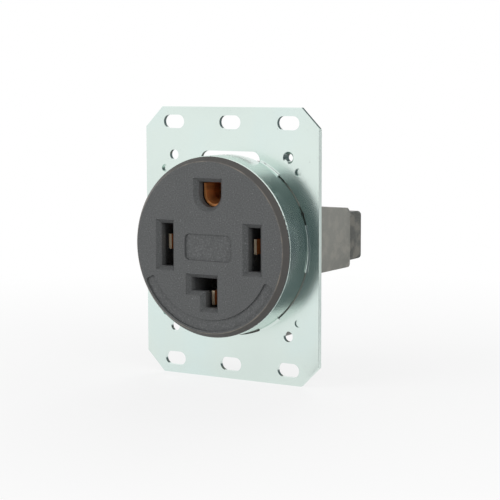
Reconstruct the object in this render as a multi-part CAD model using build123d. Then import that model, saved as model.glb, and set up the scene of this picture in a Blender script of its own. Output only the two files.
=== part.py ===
from build123d import *
import math
import os

# Four-slot dryer outlet, flush mounted, in millimetres.
# X points right, Z up and Y back into the wall, seen from the front.
# The origin is on the round face's axis, in the front plane of the mounting plate.

# Mounting plate
plate_width = 70.0
plate_height = 93.7
plate_thickness = 1.4
plate_corner = 7.0
plate_edge_round = 0.25
device_slot_pitch_x = 23.02
device_slot_pitch_z = 83.34
device_slot_length = 8.5
device_slot_height = 4.7
wall_hole_pitch_x = 46.04
wall_hole_pitch_z = 60.32
wall_hole_radius = 1.8
dimple_x = 26.9
dimple_z = 25.4
dimple_radius = 1.35
upper_dimple_depth = 0.9
lower_dimple_depth = 0.5
window_half_width = 11.9
window_top = 31.9
window_corner = 3.0
lower_window_radius = 31.4
lower_window_corner = 0.8

# Drum drawn out of the plate
drum_radius = 30.8
drum_wall = 1.3
drum_height = 12.0
drum_edge_round = 0.4
slit_width = 0.3
slit_outer_angle = 51.0
slit_inner_angle = 15.0
slit_end_angle = 22.0
slit_end_radius = 0.7
bridge_margin_angle = 0.3
drum_foot_round = 1.0

# Swaged collar that grips the earth strap, behind the upper right plate hole
collar_mouth_radius = 2.05
collar_bore_radius = 1.4
collar_radius = 2.2
collar_length = 1.5
collar_mouth_depth = 0.7

# Moulded face
face_front = -14.1
face_edge_radius = 29.05
face_rim_radius = 30.6
face_body_radius = 29.2
face_edge_round = 0.35
face_wall = 3.9
slot_lead_in = 1.35
slot_lead_depth = 1.6
hot_slot_x = 17.46
hot_slot_width = 4.85
hot_slot_height = 14.7
hot_slot_z = 0.15
ground_slot_z = 17.95
ground_slot_radius = 4.45
ground_slot_top = 22.1
neutral_left = -7.7
neutral_right = 2.68
neutral_top = -10.4
neutral_foot = -20.5
neutral_limb = 4.6
label_width = 18.8
label_height = 9.0
label_corner = 1.9
recess_depth = 0.7
band_outer_radius = 28.3
band_inner_radius = 24.45
band_half_angle = 65.0
band_corner = 1.0

# Clearances
seat_gap = 0.05
fit_gap = 0.25
turn_gap = 0.05

# How far a cutting shape runs past the face that it opens
overrun = 1.0

# Moulded base behind the plate
base_rear = 24.0
base_block_half_width = 20.5
base_block_top = 27.7
base_block_bottom = -32.0
base_block_corner = 5.0
base_block_taper = 0.8
arm_half_width = 33.6
arm_top_front = 14.1
arm_top_rear = 12.2
arm_bottom = -8.2
base_rear_round = 0.8
arm_top_round = 2.6
arm_bottom_round = 1.3
chamber_half_width = 3.6
blade_room_rear = 7.5
hot_chamber_half_height = 7.7
ground_chamber_half_width = 5.4
ground_chamber_bottom = 12.2
ground_chamber_top = 23.9
neutral_chamber_margin = 0.9

# Rear cover
cover_flange_rear = 27.0
cover_pad_rear = 30.0
cover_bar_rear = 34.6
cover_block_half_width = 18.9
cover_block_top = 26.6
cover_block_bottom = -30.5
cover_block_corner = 4.5
cover_bar_half_width = 32.6
cover_bar_top = 10.4
cover_bar_bottom = -6.5
cover_bar_corner = 1.5
cover_bar_taper = 0.8
cover_neck_height = 1.3
cover_neck_inset = 0.8
cover_pad_corner = 3.0
cover_edge_round = 0.5
pad_margin = 1.1

# Terminals: a box lug, a pressure plate and a screw that carries it
hot_terminal_x = 27.2
hot_terminal_z = 3.8
ground_terminal_x = 11.5
ground_terminal_z = 21.0
neutral_terminal_x = -11.5
neutral_terminal_z = -21.2
lug_front = 8.5
lug_half_width = 5.0
lug_length = 10.5
lug_floor = 1.5
lug_side_wall = 1.5
lug_opening = 7.5
lug_roof = 3.5
lug_edge_round = 0.6
clamp_width = 6.2
clamp_length = 8.0
clamp_thickness = 1.2
clamp_roof_gap = 0.4
clamp_travel = 4.5
thread_radius = 3.0
screw_neck_radius = 1.6
screw_rivet_radius = 2.1
screw_rivet_height = 0.35
head_radius = 3.95
head_height = 3.5
head_round = 0.5
head_slot_width = 1.3
head_slot_depth = 1.6
head_access_radius = 4.3
wire_hole_radius = 3.3

# Contacts
contact_metal = 1.2
blade_half_gap = 0.8
contact_x_hot = 17.2
contact_front = -8.6
contact_mouth_offset = 0.43
contact_mouth_length = 2.6
hot_leaf_bottom = -5.25
hot_leaf_top = 5.55
hot_leaf_slope = 2.0
hot_mouth_bottom = -1.8
hot_mouth_top = 3.3
mouth_strip_length = 4.6
tail_width = 5.2
hot_tail_top = -2.0
hot_tail_end = 8.4
neutral_contact_x = 0.4
neutral_leaf_bottom = -20.0
neutral_leaf_top = -15.2
neutral_tail_top = -12.6
neutral_tail_bottom = -15.6
neutral_tail_end = -25.8
ground_contact_front = -9.5
ground_sleeve_metal = 0.9
ground_sleeve_radius = 2.55
ground_mouth_radius = 3.45
ground_mouth_end = -5.5
ground_sleeve_top = 21.6
ground_tail_bottom = 12.5
ground_tail_top = 15.4
ground_tail_end = 25.6
ground_tab_top = 26.9
ground_tab_metal = 0.8
ground_tab_overlap = 0.5
spring_metal = 0.6
spring_gap = 0.05
spring_front = -3.6
ground_spring_front = -3.0
ground_spring_rear = 7.0

# Earth strap and its rivet
strap_metal = 0.8
strap_half_width = 2.6
strap_knee_x = 15.0
strap_eye_radius = 3.6
rivet_z = 24.3
rivet_radius = 1.2
rivet_head_radius = 2.1
rivet_head_height = 0.7

# Long screws that hold face, base and cover together
tie_side_x = 15.0
tie_side_z = 21.0
tie_middle_z = 1.5
tie_radius = 1.7
tie_tip = -7.0
tie_head_radius = 3.1
tie_head_height = 2.2
tie_head_round = 0.9
tie_recess_gap = 0.5
tie_slot_width = 0.9
tie_slot_depth = 0.9

# Places that follow from the sizes above
plate_rear = plate_thickness
drum_front = -drum_height
drum_inner_radius = drum_radius - drum_wall
face_flange_rear = drum_front - seat_gap
face_rear = plate_rear - seat_gap
base_front = plate_rear + seat_gap
chamber_front = face_front + face_wall
cover_front = base_rear + seat_gap
lug_floor_rear = lug_front + lug_floor
tail_front = lug_floor_rear + seat_gap
tail_rear = tail_front + contact_metal
lug_roof_front = lug_floor_rear + lug_opening
lug_rear = lug_roof_front + lug_roof
clamp_rear = lug_roof_front - clamp_roof_gap
clamp_front = clamp_rear - clamp_thickness
head_front = lug_rear + clamp_travel + clamp_roof_gap
head_rear = head_front + head_height
wire_axis_y = (tail_rear + clamp_front) / 2
spring_rear = tail_rear + spring_gap + spring_metal
tie_places = [(-tie_side_x, tie_side_z), (tie_side_x, -tie_side_z), (0.0, tie_middle_z)]


def slab(sketch, y_front, y_rear, taper=0.0):
    """Solid of a sketch drawn in X and Z, between two depths; a taper narrows it towards the front."""
    plane = Plane(origin=(0, y_rear, 0), x_dir=(1, 0, 0), z_dir=(0, -1, 0))
    return extrude(plane * sketch, amount=y_rear - y_front, taper=taper)


def rear_tapered_slab(sketch, y_front, y_rear, taper):
    """Solid of a sketch drawn in X and Z that narrows towards the rear."""
    plane = Plane(origin=(0, y_front, 0), x_dir=(1, 0, 0), z_dir=(0, 1, 0))
    return extrude(plane * mirror(sketch, about=Plane.XZ), amount=y_rear - y_front, taper=taper)


def box_between(x0, x1, y0, y1, z0, z1):
    """Block between three pairs of limits."""
    centre = ((x0 + x1) / 2, (y0 + y1) / 2, (z0 + z1) / 2)
    return Pos(*centre) * Box(abs(x1 - x0), abs(y1 - y0), abs(z1 - z0))


def rod(radius, x, z, y_front, y_rear):
    """Round bar along Y."""
    return slab(Pos(x, z) * Circle(radius), y_front, y_rear)


def span_sketch(x0, x1, z0, z1, corner=0.0):
    """Rectangle between limits in X and Z, with rounded corners if asked."""
    middle = Pos((x0 + x1) / 2, (z0 + z1) / 2)
    if corner > 0:
        return middle * RectangleRounded(x1 - x0, z1 - z0, corner)
    return middle * Rectangle(x1 - x0, z1 - z0)


def ring_sector(inner, outer, middle_angle, half_angle):
    """Flat ring sector about the face's axis."""
    reach = outer * 2
    left = math.radians(middle_angle + half_angle)
    right = math.radians(middle_angle - half_angle)
    middle = math.radians(middle_angle)
    wedge = Polygon(
        (0, 0),
        (reach * math.cos(right), reach * math.sin(right)),
        (reach * math.cos(middle) * 2, reach * math.sin(middle) * 2),
        (reach * math.cos(left), reach * math.sin(left)),
        align=None,
    )
    return (Circle(outer) - Circle(inner)) & wedge


def u_sketch(radius, centre_z, top_z):
    """Outline with a flat top and a half-round foot."""
    foot = Pos(0, centre_z) * Circle(radius) & span_sketch(-radius, radius, centre_z - radius, centre_z)
    return foot + span_sketch(-radius, radius, centre_z, top_z)


def l_sketch(grow):
    """Angle-shaped outline of the neutral opening, grown all round."""
    limb = neutral_limb + 2 * grow
    left = neutral_left - grow
    right = neutral_right + grow
    top = neutral_top + grow
    foot = neutral_foot - grow
    return span_sketch(left, right, top - limb, top) + span_sketch(right - limb, right, foot, top)


def funnel(sketch_inner, sketch_outer):
    """Sloped lead-in from the face's front down to the opening's own size."""
    front = Plane(origin=(0, face_front, 0), x_dir=(1, 0, 0), z_dir=(0, -1, 0))
    back = Plane(origin=(0, face_front + slot_lead_depth, 0), x_dir=(1, 0, 0), z_dir=(0, -1, 0))
    return loft([(back * sketch_inner).face(), (front * sketch_outer).face()], ruled=True)


def edges_at_depth(solid, depth, tolerance=0.02):
    """Edges that lie wholly at one depth."""
    found = solid.edges().filter_by_position(Axis.Y, depth - tolerance, depth + tolerance)
    return found


def make_yoke():
    """Steel plate with its drawn drum, side slits, windows, mounting slots and screw holes."""
    border = Rectangle(plate_width, plate_height)
    border = chamfer(border.vertices(), plate_corner)
    plate = slab(border, 0, plate_rear)
    plate = chamfer(edges_at_depth(plate, 0), plate_edge_round)
    openings = Circle(drum_inner_radius) + windows() + slits()
    for column in (-1, 0, 1):
        for row in (-1, 1):
            place = Pos(column * device_slot_pitch_x, row * device_slot_pitch_z / 2)
            openings += place * SlotOverall(device_slot_length, device_slot_height)
    for side in (-1, 1):
        for row in (-1, 1):
            place = Pos(side * wall_hole_pitch_x / 2, row * wall_hole_pitch_z / 2)
            is_collar = side == 1 and row == 1
            radius = collar_bore_radius if is_collar else wall_hole_radius
            openings += place * Circle(radius)
    plate -= slab(openings, -overrun, plate_rear + overrun)
    tube = slab(Circle(drum_radius) - Circle(drum_inner_radius), drum_front, 0)
    mouth = edges_at_depth(tube, drum_front).sort_by(SortBy.RADIUS)[-1]
    tube = fillet(mouth, drum_edge_round)
    yoke = plate + tube + drum_feet()
    for side in (-1, 1):
        yoke = press_dimple(yoke, side * dimple_x, dimple_z, upper_dimple_depth)
        yoke = press_dimple(yoke, side * dimple_x, -dimple_z, lower_dimple_depth)
    return swage_collar(yoke)


def windows():
    """Plan of the two windows: one with a straight top above the drum, one with a round foot below it."""
    width = 2 * window_half_width
    upper = span_sketch(-window_half_width, window_half_width, 0, window_top, window_corner)
    lower = Pos(0, -plate_height / 2) * Rectangle(width, plate_height) & Circle(lower_window_radius)
    lower = fillet(lower.vertices().sort_by(Axis.Y)[:2], lower_window_corner)
    return upper + lower


def slits():
    """Plan of the narrow gaps between the drum and the plate, beside the middle bridges."""
    middle = (slit_outer_angle + slit_inner_angle) / 2
    half = (slit_outer_angle - slit_inner_angle) / 2
    outer = drum_radius + slit_width
    plan = None
    for side_angle in (0, 180):
        for turn in (-1, 1):
            gap = ring_sector(drum_inner_radius - overrun, outer, side_angle + turn * middle, half)
            plan = gap if plan is None else plan + gap
    angle = math.radians(slit_end_angle)
    for side in (-1, 1):
        place = Pos(side * drum_radius * math.cos(angle), drum_radius * math.sin(angle))
        plan += place * Circle(slit_end_radius)
    return plan


def drum_feet():
    """Small drawn radius where the six bridges join the drum to the plate."""
    foot_round = min(drum_foot_round, plate_width / 2 - drum_radius - plate_edge_round)
    reach = drum_radius + foot_round
    profile = Polygon((drum_radius, 0), (reach, 0), (drum_radius, foot_round), align=None)
    profile -= Pos(reach, foot_round) * Circle(foot_round)
    section = Plane(origin=(0, 0, 0), x_dir=(1, 0, 0), z_dir=(0, 0, 1)) * mirror(profile, about=Plane.XZ)
    ring = revolve(section, axis=Axis.Y, revolution_arc=360)
    window_angle = math.degrees(math.acos(window_half_width / drum_radius))
    corner_middle = (window_angle + slit_outer_angle) / 2
    corner_half = (window_angle - slit_outer_angle) / 2 - bridge_margin_angle
    spans = []
    for side_angle in (0, 180):
        spans.append((side_angle, slit_inner_angle - bridge_margin_angle))
        spans.append((side_angle + corner_middle, corner_half))
        spans.append((side_angle - corner_middle, corner_half))
    feet = None
    for angle, half in spans:
        foot = ring & slab(ring_sector(overrun, reach + overrun, angle, half), -foot_round, 0)
        feet = foot if feet is None else feet + foot
    return feet


def press_dimple(yoke, x, z, depth):
    """Round mark pressed part way through the plate from the front."""
    bump = rod(dimple_radius, x, z, plate_rear / 2, plate_rear + depth)
    hollow = rod(dimple_radius, x, z, -overrun, depth)
    return yoke + bump - hollow


def swage_collar(yoke):
    """Collar drawn back around the upper right hole, with a flared mouth."""
    x = wall_hole_pitch_x / 2
    z = wall_hole_pitch_z / 2
    collar = rod(collar_radius, x, z, plate_rear / 2, plate_rear + collar_length)
    yoke = yoke + collar - rod(collar_bore_radius, x, z, -overrun, plate_rear + collar_length + overrun)
    mouth = Cone(collar_bore_radius, collar_mouth_radius, collar_mouth_depth)
    mouth = Pos(x, collar_mouth_depth / 2, z) * Rot(90, 0, 0) * mouth
    return yoke - mouth


def make_face():
    """Round moulded face with its four openings, label panel, lettering band and rear chambers."""
    profile = Polygon(
        (0, face_front),
        (face_edge_radius, face_front),
        (face_rim_radius, face_flange_rear),
        (face_body_radius, face_flange_rear),
        (face_body_radius, face_rear),
        (0, face_rear),
        align=None,
    )
    face = revolve(Plane.XY * profile, axis=Axis.Y, revolution_arc=360)
    rim = edges_at_depth(face, face_front)
    face = fillet(rim, face_edge_round)
    for side in (-1, 1):
        face -= hot_opening(side)
    face -= ground_opening()
    face -= neutral_opening()
    panel = RectangleRounded(label_width, label_height, label_corner)
    face -= slab(panel, face_front - overrun, face_front + recess_depth)
    band = ring_sector(band_inner_radius, band_outer_radius, -90, band_half_angle)
    corner = min(band_corner, (band_outer_radius - band_inner_radius) / 3)
    band = fillet(band.vertices(), corner)
    face -= slab(band, face_front - overrun, face_front + recess_depth)
    for x, z in tie_places:
        face -= rod(tie_radius + turn_gap, x, z, tie_tip - fit_gap, face_rear + overrun)
    head_room = rivet_head_height + seat_gap + fit_gap
    face -= rod(rivet_head_radius + fit_gap, 0, rivet_z, face_rear - head_room, face_rear + overrun)
    return face


def hot_opening(side):
    """Straight slot for one line blade, with its lead-in and the chamber behind it."""
    place = Pos(side * hot_slot_x, hot_slot_z)
    inner = place * Rectangle(hot_slot_width, hot_slot_height)
    outer = place * Rectangle(hot_slot_width + 2 * slot_lead_in, hot_slot_height + 2 * slot_lead_in)
    room = place * Rectangle(2 * chamber_half_width, 2 * hot_chamber_half_height)
    cut = funnel(inner, outer) + slab(inner, face_front + slot_lead_depth / 2, face_rear)
    return cut + slab(room, chamber_front, face_rear + overrun)


def ground_opening():
    """Flat-topped round opening for the earth pin, with its lead-in and chamber."""
    inner = u_sketch(ground_slot_radius, ground_slot_z, ground_slot_top)
    outer = u_sketch(ground_slot_radius + slot_lead_in, ground_slot_z, ground_slot_top + slot_lead_in)
    room = ground_room()
    cut = funnel(inner, outer) + slab(inner, face_front + slot_lead_depth / 2, face_rear)
    return cut + slab(room, chamber_front, face_rear + overrun)


def neutral_opening():
    """Angle-shaped opening for the neutral blade, with its lead-in and chamber."""
    inner = l_sketch(0)
    outer = l_sketch(slot_lead_in)
    cut = funnel(inner, outer) + slab(inner, face_front + slot_lead_depth / 2, face_rear)
    return cut + slab(neutral_room(), chamber_front, face_rear + overrun)


def ground_room():
    """Plan of the earth contact's chamber."""
    half = ground_chamber_half_width
    return span_sketch(-half, half, ground_chamber_bottom, ground_chamber_top)


def neutral_room():
    """Plan of the neutral contact's chamber."""
    return l_sketch(neutral_chamber_margin)


def terminals():
    """Name, place and wire side of each terminal; the wire side is up or down."""
    return [
        ("hot_left", -hot_terminal_x, hot_terminal_z, 1),
        ("hot_right", hot_terminal_x, hot_terminal_z, 1),
        ("ground", ground_terminal_x, ground_terminal_z, 1),
        ("neutral", neutral_terminal_x, neutral_terminal_z, -1),
    ]


def hot_contact_room(side, shrink=0.0):
    """Plan of the room behind the blade, on one side, that takes the line contact's rear."""
    centre = side * hot_slot_x
    half = chamber_half_width - shrink
    low = hot_leaf_bottom - fit_gap + shrink
    high = hot_leaf_top + fit_gap - shrink
    return span_sketch(centre - half, centre + half, low, high)


def neutral_contact_room(shrink=0.0):
    """Plan of the room behind the neutral blade that takes the contact's rear."""
    left = neutral_right - neutral_limb - neutral_chamber_margin + shrink
    right = neutral_right + neutral_chamber_margin - shrink
    low = neutral_leaf_bottom - fit_gap + shrink
    high = neutral_tail_top + fit_gap - shrink
    return span_sketch(left, right, low, high)


def make_base():
    """Moulded base: a block with two side arms, chambers, lug pockets and wire entries."""
    block = span_sketch(
        -base_block_half_width, base_block_half_width, base_block_bottom, base_block_top, base_block_corner
    )
    body = rear_tapered_slab(block, base_front, base_rear, base_block_taper)
    body = fillet(edges_at_depth(body, base_rear), base_rear_round) + side_arms()
    for side in (-1, 1):
        room = Pos(side * hot_slot_x, hot_slot_z) * Rectangle(2 * chamber_half_width, 2 * hot_chamber_half_height)
        body -= slab(room, base_front - overrun, blade_room_rear)
        body -= slab(hot_contact_room(side), blade_room_rear - overrun, base_rear + overrun)
    body -= slab(ground_room(), base_front - overrun, base_rear + overrun)
    body -= slab(neutral_room(), base_front - overrun, blade_room_rear)
    body -= slab(neutral_contact_room(), blade_room_rear - overrun, base_rear + overrun)
    for name, x, z, wire_side in terminals():
        body -= lug_pocket(x, z)
        body -= wire_entry(x, z, wire_side)
    body -= tail_slots()
    for x, z in tie_places:
        body -= rod(tie_radius + fit_gap, x, z, base_front - overrun, base_rear + overrun)
    return body - strap_groove()


def side_arms():
    """Bar across the base that carries the line terminals, with a sloping top and rounded rear edges."""
    profile = Polygon(
        (base_front, arm_bottom),
        (base_rear, arm_bottom),
        (base_rear, arm_top_rear),
        (base_front, arm_top_front),
        align=None,
    )
    rear_corners = profile.vertices().group_by(Axis.X)[-1].sort_by(Axis.Y)
    profile = fillet(rear_corners[0], arm_bottom_round)
    profile = fillet(profile.vertices().group_by(Axis.X)[-1].sort_by(Axis.Y)[-1], arm_top_round)
    side = Plane(origin=(-arm_half_width, 0, 0), x_dir=(0, 1, 0), z_dir=(1, 0, 0))
    return extrude(side * profile, amount=2 * arm_half_width)


def lug_pocket(x, z):
    """Pocket that a terminal lug drops into from the rear."""
    half_x = lug_half_width + fit_gap
    half_z = lug_length / 2 + fit_gap
    front = lug_front - seat_gap
    return box_between(x - half_x, x + half_x, front, base_rear + overrun, z - half_z, z + half_z)


def wire_entry(x, z, wire_side):
    """Round hole for the wire, from the lug pocket out through the base's end."""
    start = z + wire_side * lug_length / 4
    reach = max(base_block_top, -base_block_bottom) + overrun
    length = abs(wire_side * reach - start)
    middle = (start + wire_side * reach) / 2
    return Pos(x, wire_axis_y, middle) * Cylinder(wire_hole_radius, length)


def tail_slots():
    """Gaps that let the contact tails pass from the chambers into the lug pockets."""
    cut = None
    for name, plan in tail_plans().items():
        grown = slab(offset(plan, fit_gap, kind=Kind.INTERSECTION), lug_floor_rear, base_rear + overrun)
        cut = grown if cut is None else cut + grown
    return cut


def tail_plans():
    """Plan, in X and Z, of the flat rear strip of each contact."""
    leaf_side = blade_half_gap + contact_metal
    half = tail_width / 2
    far = hot_terminal_x + half
    hot = span_sketch(contact_x_hot - leaf_side, far, hot_leaf_bottom, hot_tail_top)
    hot += span_sketch(hot_terminal_x - half, far, hot_leaf_bottom, hot_tail_end)
    hot += span_sketch(contact_x_hot - leaf_side, contact_x_hot + leaf_side, hot_leaf_bottom, hot_leaf_top)
    far = neutral_terminal_x - half
    near = neutral_contact_x + leaf_side
    neutral = span_sketch(far, near, neutral_tail_bottom, neutral_tail_top)
    neutral += span_sketch(far, neutral_terminal_x + half, neutral_tail_end, neutral_tail_top)
    neutral += span_sketch(neutral_contact_x - leaf_side, near, neutral_leaf_bottom, neutral_tail_top)
    far = ground_terminal_x + half
    ground = span_sketch(0, far, ground_tail_bottom, ground_tail_top)
    ground += span_sketch(ground_terminal_x - half, far, ground_tail_bottom, ground_tail_end)
    return {
        "hot_left": mirror(hot, about=Plane.YZ),
        "hot_right": hot,
        "neutral": neutral,
        "ground": ground,
    }


def strap_plan():
    """Plan of the earth strap, from the rivet to the eye behind the plate's upper right hole."""
    eye_x = wall_hole_pitch_x / 2
    eye_z = wall_hole_pitch_z / 2
    start = Pos(0, rivet_z) * Circle(strap_half_width)
    straight = span_sketch(0, strap_knee_x, rivet_z - strap_half_width, rivet_z + strap_half_width)
    slope = make_hull([
        *(Pos(strap_knee_x, rivet_z) * Circle(strap_half_width)).edges(),
        *(Pos(eye_x, eye_z) * Circle(strap_eye_radius)).edges(),
    ])
    return start + straight + slope


def strap_groove():
    """Shallow groove for the earth strap and the contact tab that it is riveted to."""
    depth = strap_metal + 2 * seat_gap
    groove = slab(offset(strap_plan(), fit_gap), base_front - overrun, base_front + depth)
    tab_depth = depth + ground_tab_metal + rivet_head_height + fit_gap
    half = ground_sleeve_radius + ground_sleeve_metal + fit_gap
    top = ground_tab_top + fit_gap
    tab = slab(span_sketch(-half, half, ground_chamber_top - overrun, top), base_front, base_front + tab_depth)
    return groove + tab


def make_cover():
    """Moulded rear cover: a flange, a long bar over the line terminals and two raised pads."""
    block = span_sketch(
        -cover_block_half_width, cover_block_half_width, cover_block_bottom, cover_block_top, cover_block_corner
    )
    cover = slab(block, cover_front, cover_flange_rear)
    inset = cover_neck_inset
    neck = span_sketch(
        -cover_bar_half_width + inset,
        cover_bar_half_width - inset,
        cover_bar_bottom + inset,
        cover_bar_top - inset,
        cover_bar_corner,
    )
    neck_rear = cover_front + cover_neck_height
    cover += slab(neck, cover_front, neck_rear)
    bar = span_sketch(
        -cover_bar_half_width, cover_bar_half_width, cover_bar_bottom, cover_bar_top, cover_bar_corner
    )
    bar = rear_tapered_slab(bar, neck_rear, cover_bar_rear, cover_bar_taper)
    bar = fillet(edges_at_depth(bar, cover_bar_rear), cover_edge_round)
    cover += bar
    pad_half = head_access_radius + pad_margin
    for name, x, z, wire_side in terminals()[2:]:
        pad = span_sketch(x - pad_half, x + pad_half, z - pad_half, z + pad_half, cover_pad_corner)
        pad = slab(pad, cover_front, cover_pad_rear)
        pad = fillet(edges_at_depth(pad, cover_pad_rear), cover_edge_round)
        cover += pad
    cover += contact_stops()
    for name, x, z, wire_side in terminals():
        cover += lug_stop(x, z)
        cover -= rod(head_access_radius, x, z, lug_rear, cover_bar_rear + overrun)
    for x, z in tie_places:
        cover -= rod(tie_radius + fit_gap, x, z, cover_front - overrun, cover_bar_rear + overrun)
        recess = tie_head_radius + tie_recess_gap
        cover -= rod(recess, x, z, cover_flange_rear, cover_bar_rear + overrun)
    return cover


def contact_stops():
    """Blocks on the cover that fill the rear of the chambers and hold the contacts forward."""
    front = spring_rear + seat_gap
    rear = cover_front + overrun
    stops = slab(neutral_contact_room(fit_gap), front, rear)
    for side in (-1, 1):
        stops += slab(hot_contact_room(side, fit_gap), front, rear)
    half = ground_chamber_half_width - fit_gap
    low = ground_chamber_bottom + fit_gap
    high = ground_chamber_top - fit_gap
    return stops + slab(span_sketch(-half, half, low, high), tail_rear + seat_gap, rear)


def lug_stop(x, z):
    """Square boss on the cover that holds a lug in its pocket."""
    half_z = lug_length / 2
    rear = cover_front + overrun
    return box_between(x - lug_half_width, x + lug_half_width, lug_rear + seat_gap, rear, z - half_z, z + half_z)


def make_lug(x, z):
    """Brass box lug: a rectangular tube along Z with a tapped hole in its rear wall."""
    tube = box_between(
        x - lug_half_width, x + lug_half_width, lug_front, lug_rear, z - lug_length / 2, z + lug_length / 2
    )
    tube = fillet(tube.edges().filter_by(Axis.Z), lug_edge_round)
    inner = lug_half_width - lug_side_wall
    tube -= box_between(x - inner, x + inner, lug_floor_rear, lug_roof_front, z - lug_length, z + lug_length)
    return tube - rod(thread_radius + turn_gap, x, z, lug_roof_front - overrun, lug_rear + overrun)


def make_clamp(x, z):
    """Pressure plate with eased ends, loose on the screw's neck."""
    half_x = clamp_width / 2
    half_z = clamp_length / 2
    plate = box_between(x - half_x, x + half_x, clamp_front, clamp_rear, z - half_z, z + half_z)
    ends = edges_at_depth(plate, clamp_front).filter_by(Axis.X)
    plate = chamfer(ends, clamp_thickness / 3)
    plate -= rod(screw_neck_radius + turn_gap, x, z, clamp_front - overrun, clamp_rear + overrun)
    groove_rear = clamp_front + screw_rivet_height + turn_gap
    groove = rod(screw_rivet_radius + turn_gap, x, z, clamp_front - overrun, groove_rear)
    return plate - groove


def make_terminal_screw(x, z):
    """Terminal screw: slotted cylinder head, shank, and a neck riveted over in the pressure plate."""
    shank = rod(thread_radius, x, z, clamp_rear + turn_gap, head_front + head_round)
    neck = rod(screw_neck_radius, x, z, clamp_front, clamp_rear + turn_gap)
    rivet = rod(screw_rivet_radius, x, z, clamp_front, clamp_front + screw_rivet_height)
    head = rod(head_radius, x, z, head_front, head_rear)
    head = fillet(edges_at_depth(head, head_rear), head_round)
    slot = box_between(
        x - head_radius * 2,
        x + head_radius * 2,
        head_rear - head_slot_depth,
        head_rear + overrun,
        z - head_slot_width / 2,
        z + head_slot_width / 2,
    )
    return shank + neck + rivet + head - slot


def leaf_path(outward):
    """Centre line of one contact leaf, straight and then flared at its mouth."""
    x = outward * (blade_half_gap + contact_metal / 2)
    flare = outward * contact_mouth_offset
    return Polyline((x, tail_rear), (x, contact_front + contact_mouth_length), (x + flare, contact_front))


def fork_contact(x, side_outline, tail_plan):
    """Folded fork contact: two leaves standing forward from a flat rear strip."""
    section = trace(leaf_path(-1), contact_metal) + trace(leaf_path(1), contact_metal)
    tall = drum_radius * 2
    leaves = extrude(Pos(0, 0, -tall / 2) * section, amount=tall, dir=(0, 0, 1))
    side = Plane(origin=(-drum_radius, 0, 0), x_dir=(0, 1, 0), z_dir=(1, 0, 0))
    leaves = leaves & extrude(side * side_outline, amount=tall, dir=(1, 0, 0))
    return Pos(x, 0, 0) * leaves + slab(tail_plan, tail_front, tail_rear)


def make_hot_contact(side):
    """Line contact on one side of the face."""
    strip_rear = contact_front + mouth_strip_length
    leaf_front = strip_rear + hot_leaf_slope
    past_mouth = contact_front - overrun
    outline = Polygon(
        (tail_rear, hot_leaf_bottom),
        (leaf_front, hot_leaf_bottom),
        (strip_rear, hot_mouth_bottom),
        (past_mouth, hot_mouth_bottom),
        (past_mouth, hot_mouth_top),
        (strip_rear, hot_mouth_top),
        (leaf_front, hot_leaf_top),
        (tail_rear, hot_leaf_top),
        align=None,
    )
    contact = fork_contact(contact_x_hot, outline, tail_plans()["hot_right"])
    return contact if side > 0 else mirror(contact, about=Plane.YZ)


def make_neutral_contact():
    """Neutral contact, gripping the foot of the angle-shaped blade."""
    step = blade_room_rear + fit_gap
    past_mouth = contact_front - overrun
    outline = Polygon(
        (tail_rear, neutral_leaf_bottom),
        (past_mouth, neutral_leaf_bottom),
        (past_mouth, neutral_leaf_top),
        (step, neutral_leaf_top),
        (step, neutral_tail_top),
        (tail_rear, neutral_tail_top),
        align=None,
    )
    return fork_contact(neutral_contact_x, outline, tail_plans()["neutral"])


def trough(grow, y_front, y_rear, top):
    """Filled trough shape of the earth contact, flared at its mouth, grown all round."""
    straight = u_sketch(ground_sleeve_radius + grow, ground_slot_z, top)
    wide = u_sketch(ground_mouth_radius + grow, ground_slot_z, top)
    front = Plane(origin=(0, y_front, 0), x_dir=(1, 0, 0), z_dir=(0, -1, 0))
    back = Plane(origin=(0, ground_mouth_end, 0), x_dir=(1, 0, 0), z_dir=(0, -1, 0))
    mouth = loft([(back * straight).face(), (front * wide).face()], ruled=True)
    return mouth + slab(straight, ground_mouth_end, y_rear)


def make_ground_contact():
    """Earth contact: a flared trough open at the top, a riveting tab and a flat tail to the lug."""
    contact = trough(ground_sleeve_metal, ground_contact_front, tail_rear, ground_sleeve_top)
    tab_front = base_front + strap_metal + seat_gap
    tab_rear = tab_front + ground_tab_metal
    outer = ground_sleeve_radius + ground_sleeve_metal
    tab_low = ground_sleeve_top - ground_tab_overlap
    tab = slab(span_sketch(-outer, outer, tab_low, ground_tab_top), tab_front, tab_rear)
    tab = fillet(tab.edges().filter_by(Axis.Y).group_by(Axis.Z)[-1], outer / 4)
    tab -= rod(rivet_radius + seat_gap, 0, rivet_z, tab_front - overrun, tab_rear + overrun)
    contact -= trough(0, ground_contact_front, tail_rear + overrun, ground_sleeve_top + overrun)
    return contact + tab + slab(tail_plans()["ground"], tail_front, tail_rear)


def make_fork_spring(x, z_low, z_high):
    """Steel clip that backs both leaves of a fork contact."""
    inner = blade_half_gap + contact_metal + spring_gap
    outer = inner + spring_metal
    clip = box_between(x - outer, x + outer, spring_front, spring_rear, z_low, z_high)
    clip = fillet(edges_at_depth(clip, spring_rear).filter_by(Axis.Z), spring_metal)
    low = z_low - overrun
    high = z_high + overrun
    return clip - box_between(x - inner, x + inner, spring_front - overrun, spring_rear - spring_metal, low, high)


def make_ground_spring():
    """Steel clip around the earth contact's trough, below its tab."""
    inner = ground_sleeve_radius + ground_sleeve_metal + spring_gap
    clip = u_sketch(inner + spring_metal, ground_slot_z, ground_sleeve_top)
    clip -= u_sketch(inner, ground_slot_z, ground_sleeve_top + overrun)
    return slab(clip, ground_spring_front, ground_spring_rear)


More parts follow.
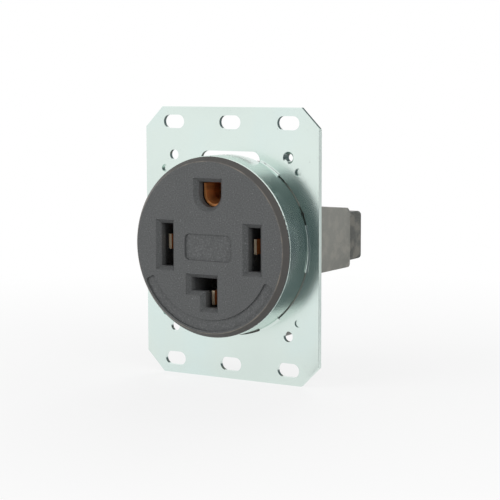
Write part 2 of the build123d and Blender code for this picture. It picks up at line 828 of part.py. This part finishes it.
def make_strap():
    """Brass earth strap behind the plate."""
    front = base_front
    strap = slab(strap_plan(), front, front + strap_metal)
    eye_x = wall_hole_pitch_x / 2
    eye_z = wall_hole_pitch_z / 2
    rear = front + strap_metal + overrun
    strap -= rod(collar_radius + seat_gap, eye_x, eye_z, front - overrun, rear)
    return strap - rod(rivet_radius + seat_gap, 0, rivet_z, front - overrun, rear)


def make_rivet():
    """Rivet that joins the strap to the earth contact's tab."""
    front = base_front - seat_gap
    rear = base_front + strap_metal + seat_gap + ground_tab_metal + seat_gap
    shank = rod(rivet_radius, 0, rivet_z, front, rear)
    front_head = rod(rivet_head_radius, 0, rivet_z, front - rivet_head_height, front)
    rear_head = rod(rivet_head_radius, 0, rivet_z, rear, rear + rivet_head_height)
    return shank + front_head + rear_head


def make_tie_screw(x, z):
    """Long slotted pan-head screw from the rear cover into the face."""
    seat = cover_flange_rear + seat_gap
    shank = rod(tie_radius, x, z, tie_tip, seat + tie_head_round)
    head = rod(tie_head_radius, x, z, seat, seat + tie_head_height)
    head = fillet(edges_at_depth(head, seat + tie_head_height), tie_head_round)
    slot = box_between(
        x - tie_head_radius * 2,
        x + tie_head_radius * 2,
        seat + tie_head_height - tie_slot_depth,
        seat + tie_head_height + overrun,
        z - tie_slot_width / 2,
        z + tie_slot_width / 2,
    )
    return shank + head - slot


def all_pieces():
    """Every piece by name."""
    pieces = {
        "face": make_face(),
        "yoke": make_yoke(),
        "base": make_base(),
        "rear_cover": make_cover(),
        "hot_left_contact": make_hot_contact(-1),
        "hot_right_contact": make_hot_contact(1),
        "neutral_contact": make_neutral_contact(),
        "ground_contact": make_ground_contact(),
        "ground_spring": make_ground_spring(),
        "ground_strap": make_strap(),
        "ground_rivet": make_rivet(),
    }
    low = hot_tail_top + fit_gap
    high = hot_leaf_top - fit_gap
    pieces["hot_left_spring"] = make_fork_spring(-contact_x_hot, low, high)
    pieces["hot_right_spring"] = make_fork_spring(contact_x_hot, low, high)
    low = neutral_leaf_bottom + fit_gap
    high = neutral_tail_bottom - fit_gap
    pieces["neutral_spring"] = make_fork_spring(neutral_contact_x, low, high)
    for name, x, z, wire_side in terminals():
        pieces[f"{name}_lug"] = make_lug(x, z)
        pieces[f"{name}_clamp"] = make_clamp(x, z)
        pieces[f"{name}_screw"] = make_terminal_screw(x, z)
    for number, (x, z) in enumerate(tie_places, start=1):
        pieces[f"tie_screw_{number}"] = make_tie_screw(x, z)
    return pieces


os.makedirs("parts", exist_ok=True)
for name, piece in all_pieces().items():
    export_step(piece, f"parts/{name}.step")
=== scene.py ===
import math

import bpy
from mathutils import Matrix, Vector


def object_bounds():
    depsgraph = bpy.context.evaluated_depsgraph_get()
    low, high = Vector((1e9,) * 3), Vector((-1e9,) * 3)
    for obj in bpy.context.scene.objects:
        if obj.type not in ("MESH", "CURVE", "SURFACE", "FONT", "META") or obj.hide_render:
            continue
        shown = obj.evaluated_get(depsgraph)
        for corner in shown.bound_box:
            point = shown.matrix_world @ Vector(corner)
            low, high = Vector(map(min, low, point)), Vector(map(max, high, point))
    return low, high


# Camera of the photograph, in the row frame, in degrees, metres and pixels
VIEW_AZIMUTH = 31.793
VIEW_ELEVATION = 6.373
VIEW_ROLL = -0.13
VIEW_TARGET = (0.00795, 0.0, -0.00157)
VIEW_DISTANCE = 0.53174
VIEW_FOCAL_PIXELS = 1562.4
PICTURE_PIXELS = 500
SENSOR_MM = 36.0
CLIP_START = 0.01
CLIP_END = 20.0

# Colours as linear reflectance
FACE_GREY = (0.088, 0.091, 0.092)
# Painted shade on the face's bevel, darker and browner than the flat
FACE_BEVEL_SHADE = (0.074, 0.069, 0.064)
# Painted highlight: thin pale line where the face's flat meets its bevel
FACE_EDGE_HIGHLIGHT = (0.24, 0.21, 0.17)
BASE_OLIVE = (0.140, 0.140, 0.128)
COVER_OLIVE = (0.112, 0.114, 0.106)
RUBBED = (0.25, 0.235, 0.205)
PLATE_ZINC = (0.74, 0.84, 0.795)
PLATE_BLUE = (0.73, 0.85, 0.82)
PLATE_SPECK = (0.30, 0.36, 0.36)
COPPER = (0.40, 0.155, 0.05)
# Painted highlight on the contacts' faces that look forward, at their sheared front edges
COPPER_FRONT_HIGHLIGHT = (0.95, 0.80, 0.58)
TROUGH_COPPER = (0.66, 0.27, 0.09)
LUG_BRASS = (0.62, 0.46, 0.20)
STRAP_BRASS = (0.52, 0.44, 0.20)
SCREW_ZINC = (0.55, 0.56, 0.54)
SPRING_GREY = (0.30, 0.30, 0.30)
FLOOR_PALE = (0.85, 0.85, 0.85)
WHITE = (1.0, 1.0, 1.0)

# Noise scales along X, Y and Z; a small one draws the pattern out along its axis
EVEN = (1.0, 1.0, 1.0)
ALONG_Y = (1.0, 0.1, 1.0)
ALONG_Y_LONG = (1.0, 0.08, 1.0)
ALONG_Z = (1.0, 1.0, 0.1)

# Specks of a moulding: place in the noise, and change of tone where the speckle is full
SPECK_STOPS = ((0.30, -0.40), (0.46, -0.08), (0.60, 0.14), (0.73, 1.0))

# Tone of pale flecks and of worn edges, as a multiple of the colour around them
FLECK_TONE = 4.0
PLASTIC_WEAR_TONE = 2.2
METAL_WEAR_TONE = 1.25

# How much darker and lighter than its colour a metal's drawing lines are
STREAK = 0.10

# Worn edges: pointiness where wear starts, pointiness where it is full, and its strength
WEAR_START = 0.52
WEAR_FULL = 0.60
WEAR_STRENGTH = 0.6

# How far the roughness drifts below and above its middle value
PLASTIC_DRIFT = (0.06, 0.08)
METAL_DRIFT = (0.05, 0.07)
PLASTIC_SPECULAR = 0.28

# Y of a normal up to which a face is taken as a front one that gets the full painted highlight, and
# past which it is not
FRONT_FULL = -0.92
FRONT_NONE = -0.70

# Radius of the face's flat, and widths of the painted shade on its bevel and of the painted
# highlight line at its rim, in metres
FACE_FLAT_RADIUS = 0.02905
BEVEL_FADE = 0.0002
EDGE_LINE_OUTER = 0.00022
EDGE_LINE_INNER = 0.00005

# Sheared sides of the plate: distance from the middle where their dull finish is full and
# width of the change, in metres, then how metallic and how rough they are
PLATE_EDGE = 0.0349
PLATE_EDGE_FADE = 0.0002
PLATE_EDGE_SHINE = 0.35
PLATE_EDGE_ROUGHNESS = 0.5

# Heights of grain and drawing lines, in metres, and strengths of their bump
FACE_GRAIN = 0.000012
MOULDING_GRAIN = 0.00002
LINE_HEIGHT = 0.00001
LINE_STRENGTH = 0.35
PLATE_GRAIN = 0.000003
PLATE_GRAIN_STRENGTH = 0.15

# Floor: its size, its gap under the part, and how it fades to plain white, in metres
FLOOR_SIZE = 8.0
FLOOR_GAP = 0.0002
FLOOR_NEAR = 0.06
FLOOR_FAR = 0.30
FLOOR_NEAR_WHITE = 0.80

# Strength of the surroundings as a light, and as they are seen
WORLD_LIGHT = 0.35
WORLD_SEEN = 1.0

TERMINALS = ("hot_left", "hot_right", "ground", "neutral")
CONTACTS = ("hot_left_contact", "hot_right_contact", "neutral_contact")
SPRINGS = ("hot_left_spring", "hot_right_spring", "neutral_spring", "ground_spring")
TIES = ("tie_screw_1", "tie_screw_2", "tie_screw_3")

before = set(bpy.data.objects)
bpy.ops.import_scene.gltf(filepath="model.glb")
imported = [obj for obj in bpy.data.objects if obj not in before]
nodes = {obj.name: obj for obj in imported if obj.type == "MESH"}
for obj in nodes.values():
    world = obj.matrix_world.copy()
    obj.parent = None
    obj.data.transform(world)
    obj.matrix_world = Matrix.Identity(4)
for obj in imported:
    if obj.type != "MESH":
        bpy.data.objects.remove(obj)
cad_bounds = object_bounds()
floor_height = cad_bounds[0][2]

# Lamps: name, place, size in metres and power in watts
LAMPS = (
    ("key", (-0.60, -0.90, 0.25), 0.8, 7.5),
    ("fill", (0.85, -0.45, 0.12), 0.6, 6.0),
    ("back", (-0.30, 0.90, 0.40), 0.6, 5.0),
)

# Dark cards: name, place, direction that they face, size in metres and tone
FLAGS = (
    ("flag_rear", (0.18, 0.40, 0.16), (0, -1, 0), (0.56, 0.46), (0.09, 0.115, 0.12)),
    ("flag_floor", (0.20, 0.26, floor_height), (0, 0, 1), (0.60, 0.40), (0.12, 0.14, 0.145)),
    ("flag_near", (0.27, -0.24, floor_height), (0, 0, 1), (0.50, 0.44), (0.13, 0.15, 0.155)),
    ("flag_right", (0.34, -0.20, 0.05), (-1, 0.6, 0), (0.46, 0.44), (0.07, 0.09, 0.095)),
    ("flag_front", (0.24, -0.40, 0.22), (0, 1, 0), (0.52, 0.56), (0.10, 0.125, 0.13)),
)


class NodeTree:
    """Adds and joins the nodes of one material or of the world."""

    def __init__(self, owner):
        self.owner = owner
        owner.use_nodes = True
        self.tree = owner.node_tree
        self.tree.nodes.clear()

    def add(self, kind, **values):
        """New node; a value goes to the input of its name, or else to the node's own setting."""
        node = self.tree.nodes.new(kind)
        for name, value in values.items():
            if name in node.inputs:
                node.inputs[name].default_value = value
            else:
                setattr(node, name, value)
        return node

    def join(self, source, output, target, socket):
        self.tree.links.new(source.outputs[output], target.inputs[socket])

    def show(self, kind, source, output):
        """Joins a shader to a new output node."""
        self.join(source, output, self.add(kind), "Surface")

    def math(self, operation, *sources):
        """Math node over pairs of a node and its output."""
        result = self.add("ShaderNodeMath", operation=operation)
        for number, (source, output) in enumerate(sources):
            self.join(source, output, result, number)
        return result

    def spread(self, source, output, low, high, start, end):
        """Maps a value between start and end onto low to high."""
        spread = self.add("ShaderNodeMapRange")
        spread.inputs["From Min"].default_value = start
        spread.inputs["From Max"].default_value = end
        spread.inputs["To Min"].default_value = low
        spread.inputs["To Max"].default_value = high
        self.join(source, output, spread, "Value")
        return spread

    def seen_rays(self):
        """One for camera, glossy and transmission rays, and nothing for the others."""
        path = self.add("ShaderNodeLightPath")
        either = self.math("MAXIMUM", (path, "Is Camera Ray"), (path, "Is Glossy Ray"))
        return self.math("MAXIMUM", (either, "Value"), (path, "Is Transmission Ray"))

    def mix(self, share, first, second):
        """Mixes the first outputs of two shader nodes by the share of the second."""
        mix = self.add("ShaderNodeMixShader")
        self.join(share, "Value", mix, "Fac")
        self.join(first, 0, mix, 1)
        self.join(second, 0, mix, 2)
        return mix


class Shader(NodeTree):
    """Material with one Principled surface and procedural detail."""

    def __init__(self, name):
        super().__init__(bpy.data.materials.new(name))
        self.surface = self.add("ShaderNodeBsdfPrincipled")
        self.show("ShaderNodeOutputMaterial", self.surface, "BSDF")

    def place(self):
        """The object's own coordinates, in metres, and normals."""
        return self.add("ShaderNodeTexCoord")

    def axes(self, output):
        """X, Y and Z of the object's coordinates or normals."""
        axes = self.add("ShaderNodeSeparateXYZ")
        self.join(self.place(), output, axes, "Vector")
        return axes

    def noise(self, scale, detail, stretch=EVEN):
        """Noise over the object's own coordinates."""
        texture = self.add("ShaderNodeTexNoise", Scale=scale, Detail=detail)
        mapping = self.add("ShaderNodeMapping", Scale=stretch)
        self.join(self.place(), "Object", mapping, "Vector")
        self.join(mapping, "Vector", texture, "Vector")
        return texture

    def patches(self, scale, detail, low, high, start=0.3, end=0.7):
        """Noise whose values between start and end are mapped onto low to high."""
        return self.spread(self.noise(scale, detail), "Fac", low, high, start, end)

    def radius(self):
        """Distance from the Y axis, in metres."""
        flat = self.add("ShaderNodeVectorMath", operation="MULTIPLY")
        flat.inputs[1].default_value = (1.0, 0.0, 1.0)
        self.join(self.place(), "Object", flat, 0)
        length = self.add("ShaderNodeVectorMath", operation="LENGTH")
        self.join(flat, "Vector", length, 0)
        return length

    def ramp(self, noise, stops):
        """Colour that follows a noise through a list of positions and colours."""
        ramp = self.add("ShaderNodeValToRGB")
        elements = ramp.color_ramp.elements
        while len(elements) < len(stops):
            elements.new(0.5)
        for element, (position, colour) in zip(elements, stops):
            element.position = position
            element.color = (*colour, 1.0)
        self.join(noise, "Fac", ramp, "Fac")
        return ramp.outputs["Color"]

    def blend(self, base, factor, colour):
        """Turns a colour towards a plain one where the first output of a node is high."""
        mix = self.add("ShaderNodeMix", data_type="RGBA")
        self.join(factor, 0, mix, "Factor")
        self.tree.links.new(base, mix.inputs["A"])
        mix.inputs["B"].default_value = (*colour, 1.0)
        return mix.outputs["Result"]

    def worn(self, base, colour):
        """Lightens sharp convex edges with the mesh's own pointiness."""
        geometry = self.add("ShaderNodeNewGeometry")
        wear = self.spread(geometry, "Pointiness", 0.0, WEAR_STRENGTH, WEAR_START, WEAR_FULL)
        return self.blend(base, wear, colour)

    def colour(self, socket):
        self.tree.links.new(socket, self.surface.inputs["Base Color"])

    def roughen(self, source, output="Result"):
        self.join(source, output, self.surface, "Roughness")

    def sheen(self, scale, detail, roughness, drift):
        """Roughness that drifts slowly below and above a middle value."""
        below, above = drift
        self.roughen(self.patches(scale, detail, low=roughness - below, high=roughness + above))

    def bump(self, noise, height, strength=1.0):
        """Bump of a height in metres that follows a noise."""
        bump = self.add("ShaderNodeBump", Strength=strength, Distance=height)
        self.join(noise, "Fac", bump, "Height")
        self.join(bump, "Normal", self.surface, "Normal")


def scaled(colour, factor):
    return tuple(min(1.0, channel * factor) for channel in colour)


def speckled(shader, colour, speckle):
    """Colour with fine dark and pale specks and a few pale flecks."""
    stops = [(place, scaled(colour, 1 + change * speckle)) for place, change in SPECK_STOPS]
    tone = shader.ramp(shader.noise(2200.0, 2.0), stops)
    fleck = shader.patches(1500.0, 0.0, low=0.0, high=0.5 * speckle, start=0.80, end=0.83)
    return shader.blend(tone, fleck, scaled(colour, FLECK_TONE))


def finish_plastic(shader, roughness, grain_height):
    """Slow changes of sheen and a fine grain."""
    shader.sheen(140.0, 4.0, roughness, PLASTIC_DRIFT)
    shader.surface.inputs["Specular IOR Level"].default_value = PLASTIC_SPECULAR
    shader.bump(shader.noise(3200.0, 3.0), grain_height)


def moulded_plastic(name, colour, roughness, speckle, smear):
    """Thermoset moulding with specks, rubbed patches and pale edges."""
    shader = Shader(name)
    tone = speckled(shader, colour, speckle)
    rub = shader.patches(240.0, 6.0, low=0.0, high=smear, start=0.46, end=0.60)
    tone = shader.blend(tone, rub, RUBBED)
    shader.colour(shader.worn(tone, scaled(colour, PLASTIC_WEAR_TONE)))
    finish_plastic(shader, roughness, MOULDING_GRAIN)
    return shader.owner


def face_plastic(name):
    """Face moulding: grey flat, a bevel with painted shade that is darker and browner, and a thin
    pale painted highlight between them.
    """
    shader = Shader(name)
    tone = speckled(shader, FACE_GREY, 0.55)
    radius = shader.radius()
    flat = FACE_FLAT_RADIUS
    # Painted shade: past the flat the bevel turns darker and browner
    bevel = shader.spread(radius, "Value", 0.0, 0.85, flat, flat + BEVEL_FADE)
    tone = shader.blend(tone, bevel, FACE_BEVEL_SHADE)
    # Painted highlight: a thin pale line at the rim of the flat, broken up in patches
    rise = shader.spread(radius, "Value", 0.0, 1.0, flat - EDGE_LINE_OUTER, flat - EDGE_LINE_INNER)
    fall = shader.spread(radius, "Value", 1.0, 0.0, flat + EDGE_LINE_INNER, flat + EDGE_LINE_OUTER)
    line = shader.math("MULTIPLY", (rise, "Result"), (fall, "Result"))
    broken = shader.patches(160.0, 4.0, low=0.15, high=0.75, start=0.42, end=0.62)
    edge_highlight = shader.math("MULTIPLY", (line, "Value"), (broken, "Result"))
    shader.colour(shader.blend(tone, edge_highlight, FACE_EDGE_HIGHLIGHT))
    finish_plastic(shader, 0.50, FACE_GRAIN)
    return shader.owner


def metal(name, colour, roughness, lines=EVEN, shine=1.0, front_highlight=None):
    """Plated or bare metal with drawing lines; the last argument is the colour of a painted
    highlight on faces that look forward.
    """
    shader = Shader(name)
    shader.surface.inputs["Metallic"].default_value = shine
    drawn = shader.noise(420.0, 4.0, lines)
    dark = scaled(colour, 1 - STREAK)
    pale = scaled(colour, 1 + STREAK)
    tone = shader.ramp(drawn, [(0.35, dark), (0.65, pale)])
    tone = shader.worn(tone, scaled(colour, METAL_WEAR_TONE))
    # Painted highlight: faces that look forward turn towards a paler colour
    if front_highlight is not None:
        front = shader.spread(shader.axes("Normal"), "Y", 1.0, 0.0, FRONT_FULL, FRONT_NONE)
        tone = shader.blend(tone, front, front_highlight)
    shader.colour(tone)
    shader.sheen(90.0, 5.0, roughness, METAL_DRIFT)
    shader.bump(drawn, LINE_HEIGHT, LINE_STRENGTH)
    return shader.owner


def dull_copper(name):
    """Rolled copper alloy with a dull, partly oxidised surface."""
    shader = Shader(name)
    shader.surface.inputs["Metallic"].default_value = 0.6
    drawn = shader.noise(500.0, 4.0, ALONG_Y_LONG)
    dark = scaled(TROUGH_COPPER, 0.75)
    pale = scaled(TROUGH_COPPER, 1.2)
    shader.colour(shader.ramp(drawn, [(0.34, dark), (0.66, pale)]))
    shader.roughen(shader.patches(110.0, 4.0, low=0.36, high=0.5))
    shader.bump(drawn, LINE_HEIGHT, LINE_STRENGTH)
    return shader.owner


def plated_steel(name):
    """Zinc plated sheet, bright with faint blue and green patches and dull at its sheared sides."""
    shader = Shader(name)
    clouds = [(0.36, scaled(PLATE_ZINC, 0.97)), (0.50, PLATE_ZINC), (0.66, PLATE_BLUE)]
    tone = shader.ramp(shader.noise(28.0, 3.0), clouds)
    speck = shader.patches(1300.0, 1.0, low=0.0, high=0.5, start=0.74, end=0.79)
    shader.colour(shader.blend(tone, speck, PLATE_SPECK))
    side = shader.math("ABSOLUTE", (shader.axes("Object"), "X"))
    sheared = shader.spread(side, "Value", 0.0, 1.0, PLATE_EDGE - PLATE_EDGE_FADE, PLATE_EDGE)
    shine = shader.spread(sheared, "Result", 1.0, PLATE_EDGE_SHINE, 0.0, 1.0)
    shader.join(shine, "Result", shader.surface, "Metallic")
    gloss = shader.patches(60.0, 4.0, low=0.20, high=0.27)
    dull = shader.spread(sheared, "Result", 0.0, PLATE_EDGE_ROUGHNESS, 0.0, 1.0)
    shader.roughen(shader.math("MAXIMUM", (gloss, "Result"), (dull, "Result")), "Value")
    shader.bump(shader.noise(700.0, 2.0), PLATE_GRAIN, PLATE_GRAIN_STRENGTH)
    return shader.owner


def paint(names, material):
    """Gives CAD nodes one material."""
    for name in names:
        materials = nodes[name].data.materials
        materials.clear()
        materials.append(material)


def of_terminals(kind):
    """Names of one kind of piece at every terminal."""
    return [f"{terminal}_{kind}" for terminal in TERMINALS]


def dress_mouldings():
    """Gives the face, the base and the rear cover their finish."""
    paint(["face"], face_plastic("face_moulding"))
    base = moulded_plastic("base_moulding", BASE_OLIVE, roughness=0.42, speckle=0.5, smear=0.75)
    paint(["base"], base)
    cover = moulded_plastic("cover_moulding", COVER_OLIVE, roughness=0.45, speckle=0.45, smear=0.5)
    paint(["rear_cover"], cover)


def dress_metals():
    """Gives the plate, the contacts, the terminals and the fastenings their finish."""
    paint(["yoke"], plated_steel("plate_zinc"))
    # The contacts get a painted highlight on their faces that look forward
    contact = metal("contact_copper", COPPER, 0.36, lines=ALONG_Y, shine=0.4, front_highlight=COPPER_FRONT_HIGHLIGHT)
    paint(CONTACTS, contact)
    paint(["ground_contact"], dull_copper("trough_copper"))
    paint(SPRINGS, metal("spring_steel", SPRING_GREY, 0.35))
    paint(of_terminals("lug"), metal("lug_brass", LUG_BRASS, 0.30, lines=ALONG_Z))
    paint(of_terminals("clamp"), metal("clamp_zinc", SCREW_ZINC, 0.30))
    paint(of_terminals("screw"), metal("screw_zinc", SCREW_ZINC, 0.26))
    paint(TIES, metal("tie_zinc", SCREW_ZINC, 0.26))
    paint(["ground_strap", "ground_rivet"], metal("strap_brass", STRAP_BRASS, 0.32))


def add_camera():
    """Camera at the photograph's place, looking at its target."""
    azimuth = math.radians(VIEW_AZIMUTH)
    elevation = math.radians(VIEW_ELEVATION)
    back = Vector(
        (
            math.sin(azimuth) * math.cos(elevation),
            -math.cos(azimuth) * math.cos(elevation),
            math.sin(elevation),
        )
    )
    data = bpy.data.cameras.new("camera")
    data.sensor_width = SENSOR_MM
    data.lens = VIEW_FOCAL_PIXELS / PICTURE_PIXELS * SENSOR_MM
    data.clip_start = CLIP_START
    data.clip_end = CLIP_END
    camera = bpy.data.objects.new("camera", data)
    bpy.context.scene.collection.objects.link(camera)
    camera.location = Vector(VIEW_TARGET) + VIEW_DISTANCE * back
    facing = back.to_track_quat("Z", "Y").to_matrix().to_4x4()
    facing = facing @ Matrix.Rotation(math.radians(VIEW_ROLL), 4, "Z")
    camera.rotation_euler = facing.to_euler()
    bpy.context.scene.camera = camera


def floor_material():
    """Matte floor that keeps a soft shadow near the part and fades to plain white further out."""
    floor = NodeTree(bpy.data.materials.new("floor_white"))
    matte = floor.add("ShaderNodeBsdfDiffuse", Color=(*FLOOR_PALE, 1.0))
    plain = floor.add("ShaderNodeEmission")
    length = floor.add("ShaderNodeVectorMath", operation="LENGTH")
    floor.join(floor.add("ShaderNodeTexCoord"), "Object", length, 0)
    fade = floor.spread(length, "Value", FLOOR_NEAR_WHITE, 1.0, FLOOR_NEAR, FLOOR_FAR)
    share = floor.math("MULTIPLY", (fade, "Result"), (floor.seen_rays(), "Value"))
    floor.show("ShaderNodeOutputMaterial", floor.mix(share, matte, plain), "Shader")
    return floor.owner


def add_floor():
    """Pale floor just under the part."""
    bpy.ops.mesh.primitive_plane_add(size=FLOOR_SIZE, location=(0, 0, floor_height - FLOOR_GAP))
    floor = bpy.context.object
    floor.name = "floor"
    floor.data.materials.append(floor_material())


def add_world():
    """White surroundings, plain white where they are seen and softer as a light."""
    world = NodeTree(bpy.data.worlds.new("world"))
    bpy.context.scene.world = world.owner
    light = world.add("ShaderNodeBackground", Color=(*WHITE, 1.0), Strength=WORLD_LIGHT)
    seen = world.add("ShaderNodeBackground", Color=(*WHITE, 1.0), Strength=WORLD_SEEN)
    mix = world.mix(world.seen_rays(), light, seen)
    world.show("ShaderNodeOutputWorld", mix, "Shader")


def add_lamp(name, place, size, power):
    """Soft square lamp aimed at the origin, which mirror-like surfaces do not show."""
    data = bpy.data.lights.new(name, "AREA")
    data.size = size
    data.energy = power
    lamp = bpy.data.objects.new(name, data)
    bpy.context.scene.collection.objects.link(lamp)
    lamp.location = place
    lamp.rotation_euler = Vector(place).to_track_quat("Z", "Y").to_euler()
    lamp.visible_glossy = False


def add_flag(name, place, facing, size, tone):
    """Dark studio card, which only reflections show."""
    bpy.ops.mesh.primitive_plane_add(size=1.0, location=place)
    flag = bpy.context.object
    flag.name = name
    flag.scale = (*size, 1.0)
    flag.rotation_euler = Vector(facing).to_track_quat("Z", "Y").to_euler()
    card = NodeTree(bpy.data.materials.new(name))
    dark = card.add("ShaderNodeEmission", Color=(*tone, 1.0))
    card.show("ShaderNodeOutputMaterial", dark, "Emission")
    flag.data.materials.append(card.owner)
    flag.visible_camera = False
    flag.visible_diffuse = False
    flag.visible_shadow = False


dress_mouldings()
dress_metals()
add_camera()
add_floor()
add_world()
for lamp in LAMPS:
    add_lamp(*lamp)
for flag in FLAGS:
    add_flag(*flag)
bpy.context.scene.view_settings.view_transform = "Standard"
